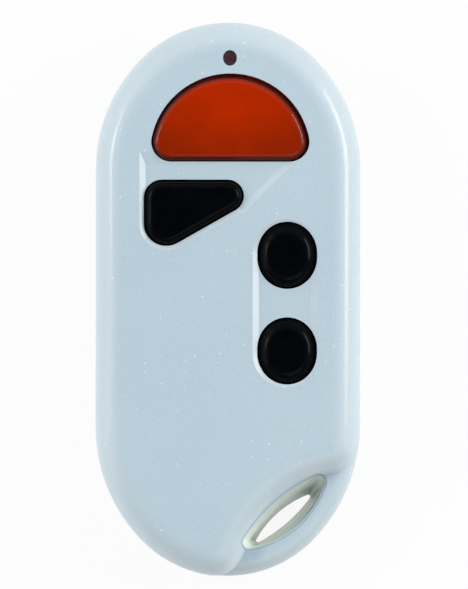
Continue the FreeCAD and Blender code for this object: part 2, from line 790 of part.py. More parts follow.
def front_shell(slot):
    """Front half: rolled face, key-ring corner, recesses, button openings and screw towers."""
    face, block = outline_block("front_face", "parting_height", "case_height")
    stepped = pocket(face, corner_outline(face, "parting_height - " + PAST), "case_height")
    rounded = dress(face, stepped, sharp_uprights(stepped), "step_corner")
    rolled = soften(face, rounded, "case_height", "front_edge")
    soften(face, rolled, "parting_height", "parting_chamfer", "Chamfer")
    loop, block = outline_block("front_loop", "parting_height", "loop_height")
    rounded = soften(loop, block, "loop_height", "loop_edge")
    soften(loop, rounded, "parting_height", "parting_chamfer", "Chamfer")
    outer = fuse("front_outer", face, loop)
    below = "parting_height - " + PAST
    room, block = outline_block("front_room", below, FRONT_INSIDE, "case_wall")
    soften(room, block, FRONT_INSIDE, "cavity_edge")
    rebate, block = outline_block("front_rebate", below, "parting_height + lip_height + lip_gap",
                                  "case_wall - lip_thickness - lip_gap")
    room_cut = cut("front_room_cut", room, corner_cylinder("front_room_keep", "0"))
    rebate_keep = corner_cylinder("front_rebate_keep", "-lip_thickness - lip_gap")
    hollow = cut("front_hollow", outer, room_cut, cut("front_rebate_cut", rebate, rebate_keep))
    towers, pilots = [], []
    for index, (x, y) in enumerate(TOWERS):
        towers.append(cylinder("front_tower_%d" % index, "front_tower_radius",
                               "case_height - front_wall + tower_embed - (%s)" % BOARD_TOP, x, y, BOARD_TOP))
        depth = SCREW_END + " + pilot_room - (%s)" % BOARD_TOP
        pilots.append(cylinder("pilot_%d" % index, "screw_radius + pilot_gap", depth, x, y, BOARD_TOP))
    openings = [
        aperture("red_opening", red_outline),
        aperture("wedge_opening", wedge_outline),
        aperture("upper_opening", lambda body, level: round_outline(body, level, ROUND_Y)),
        aperture("lower_opening", lambda body, level: round_outline(body, level, LOWER_Y)),
        aperture("window_opening", window_outline),
    ]
    solid = fuse("front_solid", hollow, *towers)
    recessed = cut("front_recessed", solid, *recess_tools())
    return cut("front_shell", recessed, slot, *openings, *pilots)


def rear_shell(slot):
    """Rear half: flat back, locating lip, screw towers, coin cell pocket and the slot's narrow end."""
    back, block = outline_block("rear_back", "0", "parting_height")
    rounded = soften(back, block, "0", "rear_edge")
    soften(back, rounded, "parting_height", "parting_chamfer", "Chamfer")
    lip, block = outline_block("rear_lip", "rear_wall", "parting_height + lip_height",
                               "case_wall - lip_thickness")
    lip_cut = cut("rear_lip_cut", lip, corner_cylinder("rear_lip_keep", "-lip_thickness"))
    room, block = outline_block("rear_room", "rear_wall", "case_height", "case_wall")
    soften(room, block, "rear_wall", "cavity_edge / 2")
    room_cut = cut("rear_room_cut", room, corner_cylinder("rear_room_keep", "0"))
    hollow = cut("rear_hollow", fuse("rear_outer", back, lip_cut), room_cut)
    inner, rooted = "cell_radius + pocket_gap", "rear_wall - tower_embed"
    ring = cut("cell_ring",
               cylinder("cell_ring_outside", inner + " + pocket_wall", "pocket_height + tower_embed",
                        "cell_x", CELL_Y, rooted),
               cylinder("cell_ring_inside", inner, "case_height", "cell_x", CELL_Y, "0"),
               box("cell_ring_gaps", "4 * cell_radius", "clip_width + 2 * pocket_gap", "case_height",
                   "cell_x", CELL_Y, "0"))
    towers, holes = [], []
    for index, (x, y) in enumerate(TOWERS):
        towers.append(cylinder("rear_tower_%d" % index, "tower_radius",
                               "parting_height - rear_wall + tower_embed", x, y, rooted))
        holes.append(cylinder("head_hole_%d" % index, "screw_head_radius + head_gap",
                              "screw_head_sink + screw_head_height + " + PAST, x, y, "-" + PAST))
        holes.append(cylinder("shank_hole_%d" % index, "screw_radius + shank_gap", "case_height", x, y, "0"))
    solid = fuse("rear_solid", hollow, ring, *towers)
    return cut("rear_shell", solid, slot, *holes)


def button(name, outline, edge):
    """A cap with a flange under the face, a hollow underside and a pusher on its switch's stem."""
    body = new_body(name)
    flange_low = FRONT_INSIDE + " - flange_thickness"
    pad(body, outline(body, flange_low, "flange_overlap"), "flange_thickness")
    crown = pad(body, outline(body, FRONT_INSIDE, "-button_gap"), "%s - (%s)" % (BUTTON_TOP, FRONT_INSIDE))
    soften(body, crown, BUTTON_TOP, edge)
    start = "%s - %s" % (flange_low, PAST)
    pocket(body, outline(body, start, "-button_gap - button_skin"),
           "%s - button_skin - (%s)" % (BUTTON_TOP, start))
    return body


def add_pusher(body, x, y):
    """The pusher reaches from inside the cap down to the stem."""
    sketch = circle(new_sketch(body, STEM_TOP, x, y), "pusher_radius")
    pad(body, sketch, "%s - button_skin / 2 - (%s)" % (BUTTON_TOP, STEM_TOP))
    return body


def buttons():
    """The four caps, each over its own switch."""
    def seated_red(body, level, grow):
        return red_outline(body, level, grow, "red_x + red_shift_x", RED_Y + " + red_shift_y")

    def upper(body, level, grow):
        return round_outline(body, level, ROUND_Y, grow)

    def lower(body, level, grow):
        return round_outline(body, level, LOWER_Y, grow)

    makers = [
        ("red_button", seated_red, "button_edge"),
        ("wedge_button", wedge_outline, "button_edge"),
        ("upper_round_button", upper, "round_edge"),
        ("lower_round_button", lower, "round_edge"),
    ]
    made = []
    for (name, outline, edge), (switch, x, y) in zip(makers, SWITCHES):
        made.append(add_pusher(button(name, outline, edge), x, y))
    return made


def status_window():
    """Light pipe: a flange under the face, a shank in the opening and a foot over the diode."""
    body = new_body("status_window")
    low = FRONT_INSIDE + " - window_flange_thickness"
    foot = BOARD_TOP + " + led_height"
    pad(body, window_outline(body, foot, "-window_gap"), "%s - (%s)" % (low, foot))
    pad(body, window_outline(body, low, "window_flange"), "window_flange_thickness")
    top = pad(body, window_outline(body, FRONT_INSIDE, "-window_gap"), "front_wall - window_sink")
    soften(body, top, "case_height - window_sink", "window_edge")
    return body


def circuit_board():
    body, block = outline_block("board_blank", "parting_height", BOARD_TOP, "case_wall + board_gap")
    holes = [cylinder("board_hole_%d" % index, "screw_radius + board_hole_gap", "case_height", x, y, "0")
             for index, (x, y) in enumerate(TOWERS)]
    return cut("circuit_board", body, corner_cylinder("board_keep", "board_gap"), *holes)


def switch(name, x, y):
    """One push switch: base with a round well, snap disc, stem and metal cover."""
    base = new_body("switch_base_" + name)
    pad(base, rectangle(base, BOARD_TOP, "switch_size", "switch_size"), "switch_body - switch_cover")
    pocket(base, circle(new_sketch(base, WELL_FLOOR), "switch_well"), "switch_body")
    disc = new_body("switch_disc_" + name)
    disc_sketch = disc_profile(disc)
    revolve = disc.newObject("PartDesign::Revolution", "disc_turn")
    revolve.Profile = disc_sketch
    revolve.ReferenceAxis = (disc_sketch, ["V_Axis"])
    revolve.Angle = 360
    stem = new_body("switch_stem_" + name)
    disc_top = WELL_FLOOR + " + " + DISC_RISE
    pad(stem, circle(new_sketch(stem, disc_top), "stem_flange"), "%s - (%s)" % (COVER_UNDER, disc_top))
    pad(stem, circle(new_sketch(stem, COVER_UNDER), "stem_radius"), "%s - (%s)" % (STEM_TOP, COVER_UNDER))
    cover = new_body("switch_cover_" + name)
    pad(cover, rectangle(cover, COVER_UNDER, "switch_size", "switch_size"), "switch_cover")
    pocket(cover, circle(new_sketch(cover, BOARD_TOP), "stem_radius + stem_gap"), "switch_height")
    for side in ("-", ""):
        tab_x = "%s(switch_size + leg_thickness) / 2" % side
        tab = rectangle(cover, BOARD_TOP + " + switch_floor", "leg_thickness", "switch_size / 3", tab_x)
        pad(cover, tab, "switch_body - switch_floor")
    pieces = [base, disc, stem, cover]
    for piece in pieces:
        place(piece, x, y)
    return pieces


def disc_profile(body):
    """Half section of a thin dome standing in the switch's well."""
    sketch = new_sketch(body, "0", "0", WELL_FLOOR, "XZ_Plane")
    rim, rise, skin = val("disc_radius"), val(DISC_RISE), val("disc_thickness")
    outer = (rim ** 2 + rise ** 2) / (2 * rise)
    inner = outer - skin
    drop = rise - outer
    inner_rim = math.sqrt(inner ** 2 - drop ** 2)
    over = arc(sketch, 0, drop, outer, math.degrees(math.atan2(-drop, rim)), 90)
    under = arc(sketch, 0, drop, inner, math.degrees(math.atan2(-drop, inner_rim)), 90)
    axis = line(sketch, 0, rise, 0, rise - skin)
    base = line(sketch, inner_rim, 0, rim, 0)
    limit(sketch, "Coincident", over, 2, axis, 1)
    limit(sketch, "Coincident", axis, 2, under, 2)
    limit(sketch, "Coincident", under, 1, base, 1)
    limit(sketch, "Coincident", base, 2, over, 1)
    limit(sketch, "PointOnObject", axis, 1, -2)
    limit(sketch, "PointOnObject", axis, 2, -2)
    limit(sketch, "PointOnObject", base, 1, -1)
    limit(sketch, "PointOnObject", base, 2, -1)
    limit(sketch, "PointOnObject", over, 3, -2)
    limit(sketch, "Coincident", over, 3, under, 3)
    limit(sketch, "DistanceX", -1, 1, base, 2, "disc_radius")
    limit(sketch, "DistanceY", -1, 1, axis, 1, DISC_RISE)
    limit(sketch, "DistanceY", -1, 1, axis, 2, DISC_RISE + " - disc_thickness")
    return sketch


def switch_terminals():
    """Four bent legs for each switch, soldered to the board."""
    legs = []
    for name, x, y in SWITCHES:
        for side in ("-", "+"):
            for end in ("-", "+"):
                leg_x = "%s %s leg_pitch / 2" % (x, side)
                foot_y = "%s %s (switch_size + leg_reach) / 2" % (y, end)
                riser_y = "%s %s (switch_size + leg_thickness) / 2" % (y, end)
                tag = "%s_%d" % (name, len(legs))
                foot = box("foot_" + tag, "leg_width", "leg_reach", "leg_thickness", leg_x, foot_y, BOARD_TOP)
                riser = box("riser_" + tag, "leg_width", "leg_thickness", "switch_body / 2",
                            leg_x, riser_y, BOARD_TOP)
                legs.append(fuse("leg_" + tag, foot, riser))
    return group("switch_terminals", legs)


def coin_cell():
    body = new_body("coin_cell")
    can = pad(body, circle(new_sketch(body, CELL_BOTTOM), "cell_radius"), "cell_thickness - cell_cap_height")
    soften(body, can, CELL_BOTTOM, "cell_edge")
    step = CELL_TOP + " - cell_cap_height"
    pad(body, circle(new_sketch(body, step), "cell_cap_radius"), "cell_cap_height")
    place(body, "cell_x", CELL_Y)
    return body


def positive_clip():
    """A strap under the cell whose two ends rise to the board."""
    body = new_body("positive_clip")
    inside = "cell_radius + clip_gap"
    outside = inside + " + clip_thickness"
    low, floor, high = "rear_wall", CELL_BOTTOM, "parting_height"
    sketch = new_sketch(body, "-clip_width / 2", "0", "0", "XZ_Plane")
    polygon(sketch, [
        ("-(%s)" % outside, low), (outside, low), (outside, high), (inside, high),
        (inside, floor), ("-(%s)" % inside, floor), ("-(%s)" % inside, high), ("-(%s)" % outside, high)])
    pad(body, sketch, "clip_width")
    place(body, "cell_x", CELL_Y)
    return body


def negative_contact():
    """A bent leaf from the board down onto the cell's smaller face."""
    body = new_body("negative_contact")
    sketch = new_sketch(body, "-contact_width / 2", "0", "0", "XZ_Plane")
    high, low = "parting_height", CELL_TOP
    toe = "contact_reach + contact_toe"
    polygon(sketch, [
        ("contact_base", high), ("0", high), ("-contact_reach", low + " + contact_thickness"),
        ("-(%s)" % toe, low + " + contact_thickness"), ("-(%s)" % toe, low), ("-contact_reach", low),
        ("0", high + " - contact_thickness"), ("contact_base", high + " - contact_thickness")])
    pad(body, sketch, "contact_width")
    place(body, "cell_x", CELL_Y)
    return body


def controller_chip():
    """Flat package with seven leads along each long side."""
    x, y = "chip_x", "chip_up"
    package = box("chip_package", "chip_length", "chip_width", "chip_height", x, y,
                  BOARD_TOP + " + chip_standoff")
    leads = []
    for index in range(2 * LEADS_A_SIDE):
        column = index % LEADS_A_SIDE - (LEADS_A_SIDE - 1) / 2
        end = "-" if index < LEADS_A_SIDE else "+"
        lead_x = "%s + lead_pitch * (%.1f)" % (x, column)
        foot_y = "%s %s (chip_width + lead_reach) / 2" % (y, end)
        riser_y = "%s %s (chip_width + lead_thickness) / 2" % (y, end)
        leads.append(box("lead_%d" % index, "lead_width", "lead_reach", "lead_thickness",
                         lead_x, foot_y, BOARD_TOP))
        leads.append(box("lead_riser_%d" % index, "lead_width", "lead_thickness", "chip_height / 2",
                         lead_x, riser_y, BOARD_TOP))
    return fuse("controller_chip", package, *leads)


def lidded_block(name, length, width, height, x, y):
    """A soldered block with chamfered upper edges."""
    body = new_body(name)
    block = pad(body, rectangle(body, BOARD_TOP, length, width), height)
    soften(body, block, "%s + %s" % (BOARD_TOP, height), "block_chamfer", "Chamfer")
    place(body, x, y)
    return body


def trimmer_capacitor():
    """Round trimmer with a screwdriver slot."""
    body = new_body("trimmer_capacitor")
    pad(body, circle(new_sketch(body, BOARD_TOP), "trimmer_radius"), "trimmer_height")
    slot = rectangle(body, BOARD_TOP + " + trimmer_height * 2 / 3", "trimmer_radius", "trimmer_radius / 4")
    pocket(body, slot, "trimmer_height")
    place(body, "trimmer_x", END + " + trimmer_from_end")
    return body


def antenna_loop():
    """Flat copper loop, open at the top, on the lower half of the board."""
    low = END + " + trace_from_end"
    bottom = box("trace_bottom", "trace_right - trace_left", "trace_width", "trace_thickness",
                 "(trace_left + trace_right) / 2", low, BOARD_TOP)
    sides = []
    for name, x in (("trace_left_side", "trace_left + trace_width / 2"),
                    ("trace_right_side", "trace_right - trace_width / 2")):
        sides.append(box(name, "trace_width", "trace_length", "trace_thickness",
                         x, low + " + trace_length / 2", BOARD_TOP))
    return fuse("antenna_loop", bottom, *sides)


def small_parts(name, rows, kind):
    """Rows of like chip parts on the board."""
    pieces = []
    for x, first_y, steps in rows:
        for step in steps:
            y = "%s - row_pitch * %d" % (first_y, step)
            tag = "%s_%d" % (kind, len(pieces))
            pieces.append(box(tag, kind + "_length", kind + "_width", kind + "_height", x, y, BOARD_TOP))
    return group(name, pieces)


def case_screws():
    """Three screws from the back through the board into the front half."""
    screws = []
    for index, (x, y) in enumerate(TOWERS):
        tag = "_%d" % index
        head = cylinder("screw_head" + tag, "screw_head_radius", "screw_head_height", x, y, "screw_head_sink")
        rooted = "screw_head_sink + screw_head_height / 2"
        shank = cylinder("screw_shank" + tag, "screw_radius", "%s - (%s)" % (SCREW_END, rooted), x, y, rooted)
        slots = [box("drive_a" + tag, "screw_head_radius * 1.1", "screw_slot_width", "screw_slot_depth",
                     x, y, "screw_head_sink"),
                 box("drive_b" + tag, "screw_slot_width", "screw_head_radius * 1.1", "screw_slot_depth",
                     x, y, "screw_head_sink")]
        screws.append(cut("screw" + tag, fuse("screw_blank" + tag, head, shank), *slots))
    return group("case_screws", screws)


def build():
    front_slot, rear_slot = slot_tools()
    parts = [front_shell(front_slot), rear_shell(rear_slot)]
    parts += buttons()
    parts += [status_window(), circuit_board()]
    for name, x, y in SWITCHES:
        parts += switch(name, x, y)
    parts.append(switch_terminals())
    parts += [coin_cell(), positive_clip(), negative_contact(), controller_chip()]
    parts.append(lidded_block("saw_resonator", "saw_length", "saw_width", "saw_height",
                              "saw_x", END + " + saw_from_end"))
    parts.append(lidded_block("rf_transistor", "transistor_length", "transistor_width", "transistor_height",
                              "transistor_x", END + " + transistor_from_end"))
    parts.append(lidded_block("status_led", "led_length", "led_width", "led_height", "window_x", WINDOW_Y))
    parts += [trimmer_capacitor(), antenna_loop()]
    parts.append(small_parts("chip_resistors", RESISTOR_ROWS, "resistor"))
    parts.append(small_parts("chip_capacitors", CAPACITOR_ROWS, "capacitor"))
    parts.append(case_screws())
    return parts


def check(parts):
    """Stop if any object failed or any sub-part is empty or not valid."""
    failed = [item.Name for item in doc.Objects if {"Invalid", "Error"} & set(item.State)]
    for item in parts:
        if item.Shape.isNull() or not item.Shape.isValid() or item.Shape.Volume <= 0:
            failed.append(item.Label)
    if failed:
        raise SystemExit("failed: " + ", ".join(failed))


def write(parts):
    os.makedirs("parts", exist_ok=True)
    for item in parts:
        item.Shape.exportStep(os.path.join("parts", item.Label + ".step"))
        box_now = item.Shape.BoundBox
        print("%-26s solids %2d  volume %9.3f  z %6.2f to %6.2f" % (
            item.Label, len(item.Shape.Solids), item.Shape.Volume, box_now.ZMin, box_now.ZMax))


sub_parts = build()
doc.recompute()
check(sub_parts)
write(sub_parts)
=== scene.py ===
import json
import math

import bpy
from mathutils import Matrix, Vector


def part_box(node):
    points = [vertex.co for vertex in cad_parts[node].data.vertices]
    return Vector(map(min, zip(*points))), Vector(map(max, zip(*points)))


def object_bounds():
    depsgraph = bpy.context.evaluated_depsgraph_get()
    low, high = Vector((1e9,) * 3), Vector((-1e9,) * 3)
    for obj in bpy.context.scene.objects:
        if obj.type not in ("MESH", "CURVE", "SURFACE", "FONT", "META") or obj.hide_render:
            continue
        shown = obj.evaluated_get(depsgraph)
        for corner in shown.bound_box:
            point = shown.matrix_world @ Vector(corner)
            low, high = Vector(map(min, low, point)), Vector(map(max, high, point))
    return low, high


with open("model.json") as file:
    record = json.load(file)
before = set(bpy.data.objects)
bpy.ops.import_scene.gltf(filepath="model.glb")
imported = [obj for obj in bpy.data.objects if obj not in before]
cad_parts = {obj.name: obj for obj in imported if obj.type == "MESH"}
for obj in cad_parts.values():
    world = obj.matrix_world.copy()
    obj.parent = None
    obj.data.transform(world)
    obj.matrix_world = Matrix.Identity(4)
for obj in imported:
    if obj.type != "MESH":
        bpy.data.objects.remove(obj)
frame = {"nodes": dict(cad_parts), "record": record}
cad_low, cad_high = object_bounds()

MM = 0.001

# The photograph: its frame in pixels, where the remote's outline lies in it, and how far it is turned.
PHOTO_WIDTH, PHOTO_HEIGHT = 468, 589
OUTLINE_LEFT, OUTLINE_RIGHT = 95.6, 360.3
OUTLINE_TOP, OUTLINE_BOTTOM = 22.75, 576.6
PHOTO_ROLL = math.radians(0.08)

# The camera, and the height on the remote at which the photograph's scale holds.
CAMERA_HEIGHT = 0.6
SENSOR_SIZE = 36.0
CLIP_START, CLIP_END = 0.01, 50.0
OUTLINE_HEIGHT = 7.9 * MM

# How far the lamps stand from the remote, and the floor's radius and number of sides.
LAMP_DISTANCE = 0.6
FLOOR_RADIUS, FLOOR_SIDES = 6.0, 96

# The key-ring slot: its place from the record, and its turn about Z.
MOUNTS = {mount["name"]: mount for mount in frame["record"]["mounts"]}
SLOT_PLACE = MOUNTS["key_ring_slot"]["pos_m"]
SLOT_ANGLE = math.radians(41.14)

# What counts as the slot: along it, across it, and in height from the mount's place.
# Each pair is a middle and a reach to both sides of it.
SLOT_ALONG = 0.35 * MM, 7.7 * MM
SLOT_ACROSS = 0.16 * MM, 2.8 * MM
WALL_HEIGHT = -0.1 * MM, 4.02 * MM
# Where painted shade goes round the mouth: a band of the walls below it, and its bevel.
SHADE_BAND_HEIGHT = 3.5 * MM, 0.62 * MM
BEVEL_HEIGHT = 4.12 * MM, 0.1 * MM

# The upward part of a normal, without its sign, on steep walls and on the mouth's bevel: such pairs too.
STEEP = 0.0, 0.6
SLANTED = 0.7, 0.2

# How much of its dark colour the painted shade round the slot's mouth shows: at most on the walls, and on the
# bevel.
SHADE_BAND_SHARE, SHADE_BEVEL_SHARE = 0.75, 0.45

# How soon the paint is painted paler as a face tilts, and how much paler at most: painted light on the rims.
RIM_LIGHT_POWER, RIM_LIGHT_SHARE = 0.5, 0.7

# Plain plastics, resins and ceramics: their darker and paler display colour and the range of their roughness.
PLASTICS = {
    "led_plastic": ((214, 205, 178), (238, 232, 214), (0.15, 0.3)),
    "chip_resin": ((26, 27, 29), (44, 45, 47), (0.5, 0.7)),
    "trimmer_plastic": ((196, 140, 44), (222, 172, 74), (0.2, 0.4)),
    "capacitor_body": ((158, 120, 84), (186, 148, 108), (0.4, 0.6)),
    "switch_plastic": ((30, 31, 33), (50, 51, 53), (0.4, 0.55)),
    "stem_plastic": ((214, 208, 190), (232, 228, 214), (0.3, 0.45)),
}

# How a metal's pattern is squeezed on each axis: a small share makes its streaks long on that axis.
STREAKS_ALONG = 1.0, 0.08, 1.0
STREAKS_ROUND = 0.1, 0.1, 1.0

# Metals: their darker and paler display colour, the range of their roughness, and their streaks.
METALS = {
    "tinned_metal": ((188, 190, 192), (222, 224, 226), (0.28, 0.42), STREAKS_ALONG),
    "cell_steel": ((206, 207, 208), (232, 232, 230), (0.12, 0.22), STREAKS_ALONG),
    "spring_steel": ((186, 186, 184), (216, 215, 210), (0.2, 0.32), STREAKS_ALONG),
    "copper_trace": ((176, 108, 62), (214, 142, 92), (0.3, 0.45), STREAKS_ALONG),
    "screw_steel": ((168, 170, 172), (204, 206, 208), (0.25, 0.4), STREAKS_ROUND),
}


def linear(red, green, blue):
    """A colour given in 0 to 255 display values, as linear light."""
    def one(value):
        share = value / 255
        return share / 12.92 if share <= 0.04045 else ((share + 0.055) / 1.055) ** 2.4
    return one(red), one(green), one(blue), 1.0


def grey(level):
    """A grey given as linear light."""
    return level, level, level, 1.0


class Tree:
    """A small helper round one material's or the world's node tree."""

    def __init__(self, owner):
        owner.use_nodes = True
        self.nodes = owner.node_tree.nodes
        self.links = owner.node_tree.links
        self.nodes.clear()

    def add(self, kind, settings=None, **sockets):
        """A new node. In the names of its sockets an underscore stands for a space."""
        node = self.nodes.new(kind)
        for name, value in (settings or {}).items():
            setattr(node, name, value)
        for name, value in sockets.items():
            self.feed(node, name.replace("_", " "), value)
        return node

    def feed(self, node, name, value):
        """Set a socket to a value, or link it to another node's socket."""
        socket = node.inputs[int(name)] if name.isdigit() else node.inputs[name]
        if isinstance(value, bpy.types.NodeSocket):
            self.links.new(value, socket)
        else:
            socket.default_value = value

    def math(self, operation, first, second=0.0, third=None):
        node = self.add("ShaderNodeMath", {"operation": operation})
        self.feed(node, "0", first)
        self.feed(node, "1", second)
        if third is not None:
            self.feed(node, "2", third)
        return node.outputs[0]

    def times(self, first, second):
        return self.math("MULTIPLY", first, second)

    def larger(self, first, second):
        return self.math("MAXIMUM", first, second)

    def unsigned(self, value):
        return self.math("ABSOLUTE", value)

    def near(self, value, middle, reach):
        """1 where a value lies within a reach of the middle, 0 elsewhere."""
        return self.math("COMPARE", value, middle, reach)

    def ramp(self, value, start, stop, first=0.0, last=1.0):
        """Go from first to last while a value goes from start to stop, and stay level beyond them."""
        node = self.add("ShaderNodeMapRange", Value=value, From_Min=start, From_Max=stop,
                        To_Min=first, To_Max=last)
        return node.outputs["Result"]

    def spread(self, noise, low=0.0, high=1.0):
        """Go from low to high over the middle of a noise, where most of its values lie."""
        return self.ramp(noise, start=0.3, stop=0.7, first=low, last=high)

    def place(self):
        """Where the shaded point is at rest, in metres, in the remote's own frame."""
        return self.add("ShaderNodeTexCoord").outputs["Object"]

    def split(self, vector):
        """The X, Y and Z of a vector."""
        return self.add("ShaderNodeSeparateXYZ", Vector=vector).outputs

    def combine(self, operation, first, second):
        """Subtract or multiply two vectors, axis by axis."""
        node = self.add("ShaderNodeVectorMath", {"operation": operation})
        self.feed(node, "0", first)
        self.feed(node, "1", second)
        return node.outputs[0]

    def noise(self, scale, detail=2.0, roughness=0.5, vector=None):
        """Cloudy noise, as many cells to a metre as the scale says."""
        node = self.add("ShaderNodeTexNoise", Scale=scale, Detail=detail, Roughness=roughness)
        self.feed(node, "Vector", vector or self.place())
        return node.outputs["Fac"]

    def mix(self, share, first, second):
        """The first colour, with a share of the second."""
        node = self.add("ShaderNodeMix", {"data_type": "RGBA"})
        self.feed(node, "0", share)
        self.feed(node, "6", first)
        self.feed(node, "7", second)
        return node.outputs[2]

    def bump(self, height, distance):
        return self.add("ShaderNodeBump", Distance=distance, Height=height).outputs["Normal"]


def surface(name, **sockets):
    """A material with one Principled shader; returns the material, its tree and the shader."""
    material = bpy.data.materials.new(name)
    tree = Tree(material)
    shader = tree.add("ShaderNodeBsdfPrincipled", **sockets)
    tree.add("ShaderNodeOutputMaterial", Surface=shader.outputs[0])
    return material, tree, shader


def flakes(tree, scale, size, rare, strength):
    """Sparse bright specks. Their size is a radius in cells, and rare is the share of cells without one."""
    cells = tree.add("ShaderNodeTexVoronoi", {"feature": "F1"}, Scale=scale, Vector=tree.place())
    chance = tree.add("ShaderNodeSeparateColor", Color=cells.outputs["Color"]).outputs[0]
    speck = tree.ramp(cells.outputs["Distance"], start=0.5 * size, stop=size, first=1.0, last=0.0)
    return tree.times(tree.times(speck, tree.ramp(chance, start=rare, stop=1.0)), strength)


def edge_tilt(tree, start, stop):
    """0 on level faces, rising to 1 as the tilt goes from the one angle to the other, in degrees."""
    upward = tree.split(tree.add("ShaderNodeNewGeometry").outputs["Normal"])[2]
    return tree.ramp(upward, math.cos(math.radians(start)), math.cos(math.radians(stop)))


def slot_places(tree):
    """Two masks: the slot's unpainted walls, and a line of painted shade round its mouth, widest on the outer
    side.
    """
    moved = tree.combine("SUBTRACT", tree.place(), SLOT_PLACE)
    turned = tree.add("ShaderNodeVectorRotate", {"rotation_type": "Z_AXIS"}, Angle=-SLOT_ANGLE, Vector=moved)
    along, across, height = tree.split(turned.outputs[0])
    inside = tree.times(tree.near(along, *SLOT_ALONG), tree.near(across, *SLOT_ACROSS))
    upward = tree.unsigned(tree.split(tree.add("ShaderNodeNewGeometry").outputs["True Normal"])[2])
    steep = tree.near(upward, *STEEP)
    walls = tree.times(tree.near(height, *WALL_HEIGHT), steep)
    bevel = tree.times(tree.near(height, *BEVEL_HEIGHT), tree.near(upward, *SLANTED))
    outer = tree.ramp(across, start=-1 * MM, stop=0.6 * MM, first=1.0, last=0.0)
    upper = tree.ramp(along, start=-5 * MM, stop=3 * MM, last=SHADE_BAND_SHARE)
    # Painted shade: the band below the mouth is darkened, most on the outer side and towards the upper end.
    shade_band = tree.times(tree.times(tree.times(tree.near(height, *SHADE_BAND_HEIGHT), steep), outer), upper)
    painted_shade_line = tree.larger(tree.times(bevel, SHADE_BEVEL_SHARE), shade_band)
    return tree.times(inside, walls), tree.times(inside, painted_shade_line)


def pearl_paint():
    """Pale blue pearl paint with fine flakes, a clear gloss and painted light on its rims; glossy bare
    plastic in the slot.
    """
    material, tree, shader = surface("pearl_paint", Coat_Weight=0.37, Coat_Roughness=0.14, Coat_IOR=1.5,
                                     IOR=1.45, Specular_IOR_Level=0.6)
    white = grey(1.0)
    blue = tree.mix(tree.spread(tree.noise(45.0)), linear(184, 207, 219), linear(189, 211, 223))
    dark_grain = tree.mix(share=0.05, first=blue, second=linear(150, 175, 195))
    pale_grain = tree.mix(share=0.09, first=blue, second=white)
    level = tree.mix(tree.spread(tree.noise(5200.0, detail=1.0)), dark_grain, pale_grain)
    # Painted light: tilted faces round the rims are painted paler than the level face.
    tilt = tree.math("POWER", edge_tilt(tree, start=2, stop=32), RIM_LIGHT_POWER)
    rim_lit = tree.mix(tree.times(tilt, RIM_LIGHT_SHARE), level, linear(203, 216, 222))
    small = flakes(tree, scale=2300.0, size=0.36, rare=0.55, strength=0.17)
    large = flakes(tree, scale=900.0, size=0.16, rare=0.62, strength=0.6)
    paint = tree.mix(large, tree.mix(small, rim_lit, linear(244, 250, 255)), white)
    bare = tree.mix(tree.spread(tree.noise(700.0)), linear(232, 242, 231), linear(244, 250, 243))
    walls, painted_shade_line = slot_places(tree)
    # The dark navy colour is painted shade round the slot's mouth.
    tree.feed(shader, "Base Color", tree.mix(painted_shade_line, tree.mix(walls, paint, bare), linear(104, 124, 150)))
    tree.feed(shader, "Roughness", tree.spread(tree.noise(900.0, detail=3.0), 0.42, 0.50))
    tree.feed(shader, "Normal", tree.bump(tree.noise(1500.0), 0.004 * MM))
    return material


def red_plastic():
    """Glossy orange-red moulding, with painted light up to its middle and painted shade near its lower side,
    its two ends and its edge.
    """
    material, tree, shader = surface("red_plastic", IOR=1.42, Specular_IOR_Level=0.22)
    low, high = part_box("red_button")
    across, along, _ = tree.split(tree.place())
    length = high[1] - low[1]
    middle = (low[0] + high[0]) / 2
    # Painted light and shade: lighter from the lower side up to the middle, darker towards both ends.
    rise = tree.ramp(along, start=low[1] + 0.07 * length, stop=low[1] + 0.55 * length, last=0.72)
    aside = tree.unsigned(tree.math("SUBTRACT", across, middle))
    shaded_ends = tree.ramp(aside, start=2 * MM, stop=10 * MM, last=-0.38)
    cloud = tree.spread(tree.noise(260.0, detail=3.0), -0.12, 0.12)
    painted_shading = tree.math("ADD", tree.math("ADD", rise, shaded_ends), cloud)
    face = tree.mix(painted_shading, linear(144, 35, 3), linear(190, 43, 0))
    # The dark red at the rounded edge is painted shade.
    tree.feed(shader, "Base Color", tree.mix(edge_tilt(tree, start=12, stop=50), face, linear(66, 12, 4)))
    tree.feed(shader, "Roughness", tree.spread(tree.noise(1200.0, detail=3.0), 0.07, 0.12))
    tree.feed(shader, "Normal", tree.bump(tree.noise(900.0), 0.003 * MM))
    return material


def black_plastic():
    """Glossy black moulding with faint handling marks."""
    material, tree, shader = surface("black_plastic", IOR=1.36, Specular_IOR_Level=0.08)
    marks = tree.spread(tree.noise(600.0, detail=4.0, roughness=0.6))
    tree.feed(shader, "Base Color", tree.mix(marks, linear(2, 4, 6), linear(6, 9, 12)))
    tree.feed(shader, "Roughness", tree.spread(tree.noise(1300.0, detail=3.0), 0.12, 0.20))
    tree.feed(shader, "Normal", tree.bump(tree.noise(1100.0), 0.003 * MM))
    return material


def window_plastic():
    """Dark red light pipe, cloudy inside."""
    material, tree, shader = surface("window_plastic", IOR=1.5)
    depth = tree.spread(tree.noise(1800.0))
    tree.feed(shader, "Base Color", tree.mix(depth, linear(58, 34, 40), linear(78, 52, 58)))
    tree.feed(shader, "Roughness", tree.spread(tree.noise(2500.0), 0.12, 0.2))
    return material


